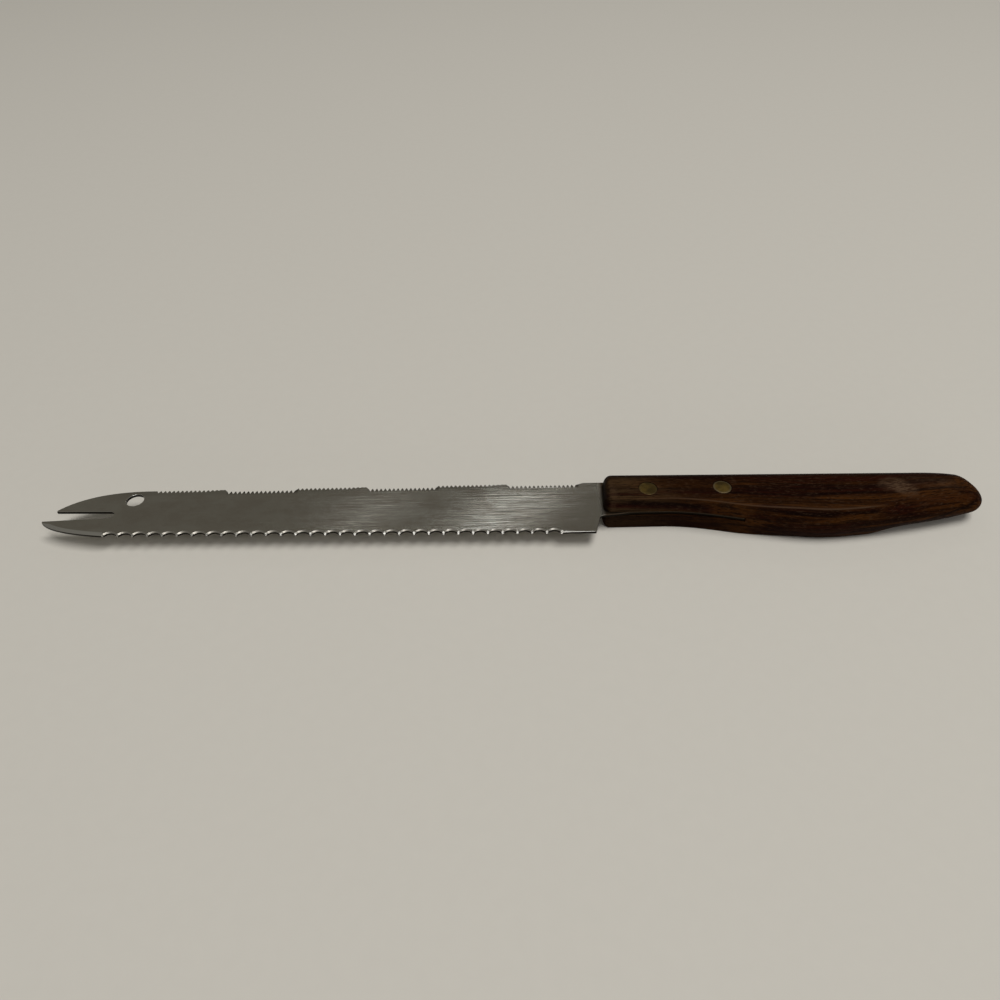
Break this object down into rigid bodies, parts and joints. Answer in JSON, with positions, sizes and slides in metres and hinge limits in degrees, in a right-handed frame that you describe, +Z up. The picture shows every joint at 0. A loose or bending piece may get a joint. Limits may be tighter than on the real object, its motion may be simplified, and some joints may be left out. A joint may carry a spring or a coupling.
{
  "type": "serrated knife",
  "caption": "Serrated kitchen knife with a forked tip, scalloped cutting edge, saw-toothed spine, hanging hole and a riveted one-piece wooden handle.",
  "frame": {"origin": "on the handle's flat underside, midway between the two rivets", "axes": "+X along the knife from the forked tip to the butt, +Y from the cutting edge to the spine, +Z up, across the blade, with the knife lying on its side"},
  "size_m": [0.3128, 0.0244, 0.0132],
  "materials": {
    "blade_steel": "satin stainless steel, finely brushed along its length, with light wear scratches and bright ground edges",
    "handle_wood": "dark red-brown hardwood with near-black streaks along the grain, oiled and worn pale on the creases",
    "rivet_brass": "dull brass, ground flush with the wood and lightly pitted"
  },
  "bodies": {
    "root": {"blade": "blade_steel", "handle": "handle_wood", "front_rivet_male": "rivet_brass", "front_rivet_female": "rivet_brass", "rear_rivet_male": "rivet_brass", "rear_rivet_female": "rivet_brass"}
  },
  "joints": []
}
